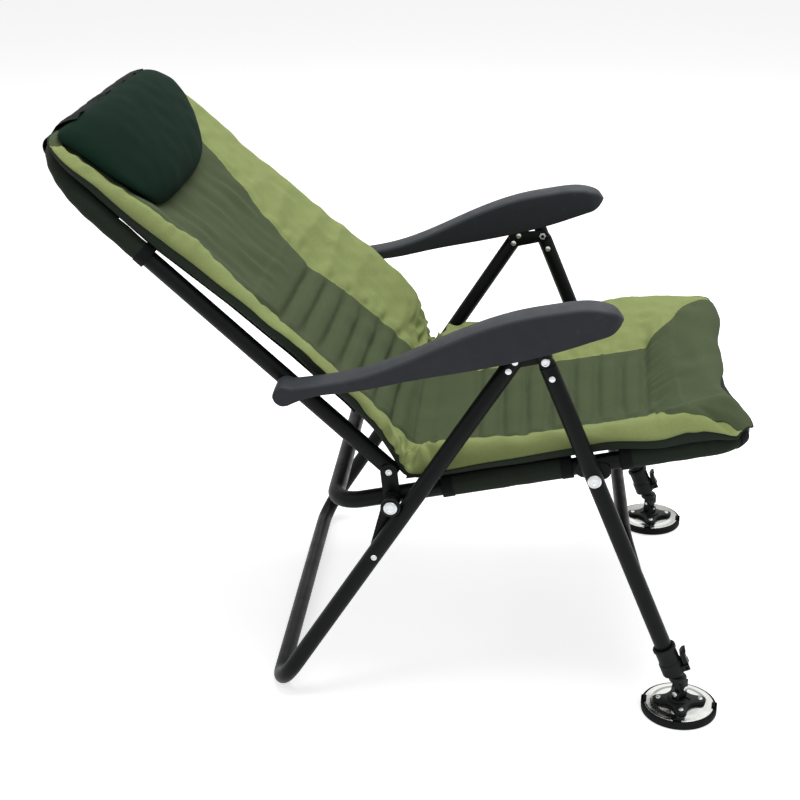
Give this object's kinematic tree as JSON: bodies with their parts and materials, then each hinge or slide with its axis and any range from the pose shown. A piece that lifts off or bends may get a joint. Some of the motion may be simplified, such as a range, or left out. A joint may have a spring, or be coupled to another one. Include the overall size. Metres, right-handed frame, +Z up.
{
  "type": "folding reclining chair",
  "caption": "Folding reclining outdoor chair with padded seat and backrest, armrests, head pillow, telescopic front legs on swivel disc feet and a U-shaped rear leg",
  "frame": {"origin": "on the floor, in the middle of the bounding box", "axes": "+X is the way the sitter faces, +Y is the sitter's left, +Z is up"},
  "size_m": [1.0064, 0.7266, 0.8757],
  "materials": {
    "black_paint": "satin black powder coat",
    "arm_plastic": "moulded, fine grain, dark grey",
    "black_plastic": "moulded black nylon",
    "foot_casting": "black painted casting",
    "polished_steel": "polished disc",
    "zinc_steel": "zinc plated fasteners",
    "rubber": "black rubber",
    "sling_fabric": "dark green grey woven polyester",
    "cushion_fabric": "light green woven polyester, padded",
    "pillow_fabric": "smooth dark green stretch fabric",
    "elastic_band": "black elastic webbing"
  },
  "bodies": {
    "seat": {"seat_frame": "black_paint", "seat_sling": "sling_fabric", "seat_cushion": "cushion_fabric", "hinge_plate_left": "black_paint", "hinge_plate_right": "black_paint", "front_lug_left": "black_paint", "front_lug_right": "black_paint", "rear_pivot_bolt_left": "zinc_steel", "rear_pivot_bolt_right": "zinc_steel", "rear_pivot_bush_left": "black_plastic", "rear_pivot_bush_right": "black_plastic"},
    "backrest": {"backrest_frame": "black_paint", "backrest_sling": "sling_fabric", "backrest_cushion": "cushion_fabric", "head_pillow": "pillow_fabric", "pillow_band": "elastic_band", "backrest_hinge_rivet_left": "zinc_steel", "backrest_hinge_rivet_right": "zinc_steel", "armrest_pivot_bolt_left": "zinc_steel", "armrest_pivot_bolt_right": "zinc_steel"},
    "front_legs": {"front_cross_tube": "black_paint", "front_leg_left": "black_paint", "front_leg_right": "black_paint", "front_leg_plug_left": "black_plastic", "front_leg_plug_right": "black_plastic", "front_pivot_bolt_left": "zinc_steel", "front_pivot_bolt_right": "zinc_steel", "front_pivot_spacer_left": "black_plastic", "front_pivot_spacer_right": "black_plastic", "leg_top_bolt_left": "zinc_steel", "leg_top_bolt_right": "zinc_steel", "lock_collar_left": "black_plastic", "lock_collar_right": "black_plastic"},
    "rear_legs": {"rear_leg_frame": "black_paint", "rear_leg_bracket_left": "black_paint", "rear_leg_bracket_right": "black_paint", "rear_leg_rivet_left": "zinc_steel", "rear_leg_rivet_right": "zinc_steel", "leg_hook_left": "black_paint", "leg_hook_right": "black_paint"},
    "armrest_left": {"armrest_left": "arm_plastic", "armrest_rack_left": "zinc_steel"},
    "leg_extension_left": {"leg_extension_left": "black_paint", "foot_upper_pin_left": "zinc_steel"},
    "lock_lever_left": {"lock_lever_left": "black_plastic"},
    "foot_knuckle_left": {"foot_knuckle_left": "foot_casting"},
    "foot_left": {"foot_lower_pin_left": "zinc_steel", "foot_casting_left": "foot_casting", "foot_disc_left": "polished_steel", "foot_pad_left": "rubber"},
    "armrest_right": {"armrest_right": "arm_plastic", "armrest_rack_right": "zinc_steel"},
    "leg_extension_right": {"leg_extension_right": "black_paint", "foot_upper_pin_right": "zinc_steel"},
    "lock_lever_right": {"lock_lever_right": "black_plastic"},
    "foot_knuckle_right": {"foot_knuckle_right": "foot_casting"},
    "foot_right": {"foot_lower_pin_right": "zinc_steel", "foot_casting_right": "foot_casting", "foot_disc_right": "polished_steel", "foot_pad_right": "rubber"}
  },
  "joints": [
    {"name": "backrest_fold", "type": "hinge", "parent": "seat", "child": "backrest", "pos_m": [-0.01355, 0, 0.37298], "axis": [0, 1, 0], "range_deg": [0, 93], "deforming": ["backrest_cushion"]},
    {"name": "front_legs_fold", "type": "hinge", "parent": "seat", "child": "front_legs", "pos_m": [0.27859, 0, 0.37986], "axis": [0, 1, 0], "range_deg": [0, 83.3]},
    {"name": "rear_legs_fold", "type": "hinge", "parent": "seat", "child": "rear_legs", "pos_m": [-0.00939, 0, 0.331], "axis": [0, 1, 0], "range_deg": [0, 33.1]},
    {"name": "armrest_left_swing", "type": "hinge", "parent": "backrest", "child": "armrest_left", "pos_m": [-0.15451, 0.312, 0.50628], "axis": [0, 1, 0], "range_deg": [-78.2, 0]},
    {"name": "leg_left_extend", "type": "slide", "parent": "front_legs", "child": "leg_extension_left", "axis": [0.3795, 0, -0.9252], "range_m": [0, 0.1]},
    {"name": "lever_left_open", "type": "hinge", "parent": "front_legs", "child": "lock_lever_left", "pos_m": [0.42448, 0.307, 0.0795], "axis": [0, 1, 0], "range_deg": [0, 60]},
    {"name": "foot_left_tilt_upper", "type": "hinge", "parent": "leg_extension_left", "child": "foot_knuckle_left", "pos_m": [0.41757, 0.307, 0.041], "axis": [0.7071, 0.7071, 0], "range_deg": [-25, 25]},
    {"name": "foot_left_tilt_lower", "type": "hinge", "parent": "foot_knuckle_left", "child": "foot_left", "pos_m": [0.41757, 0.307, 0.03], "axis": [-0.7071, 0.7071, 0], "range_deg": [-25, 25]},
    {"name": "armrest_right_swing", "type": "hinge", "parent": "backrest", "child": "armrest_right", "pos_m": [-0.15451, -0.312, 0.50628], "axis": [0, 1, 0], "range_deg": [-78.2, 0]},
    {"name": "leg_right_extend", "type": "slide", "parent": "front_legs", "child": "leg_extension_right", "axis": [0.3795, 0, -0.9252], "range_m": [0, 0.1]},
    {"name": "lever_right_open", "type": "hinge", "parent": "front_legs", "child": "lock_lever_right", "pos_m": [0.42448, -0.307, 0.0795], "axis": [0, 1, 0], "range_deg": [0, 60]},
    {"name": "foot_right_tilt_upper", "type": "hinge", "parent": "leg_extension_right", "child": "foot_knuckle_right", "pos_m": [0.41757, -0.307, 0.041], "axis": [0.7071, -0.7071, 0], "range_deg": [-25, 25]},
    {"name": "foot_right_tilt_lower", "type": "hinge", "parent": "foot_knuckle_right", "child": "foot_right", "pos_m": [0.41757, -0.307, 0.03], "axis": [0.7071, 0.7071, 0], "range_deg": [-25, 25]}
  ],
  "couplings": [
    {"joint": "front_legs_fold", "follows": "backrest_fold", "ratio": 0.895},
    {"joint": "rear_legs_fold", "follows": "backrest_fold", "ratio": 0.355},
    {"joint": "armrest_left_swing", "follows": "backrest_fold", "ratio": -0.84},
    {"joint": "armrest_right_swing", "follows": "backrest_fold", "ratio": -0.84}
  ]
}
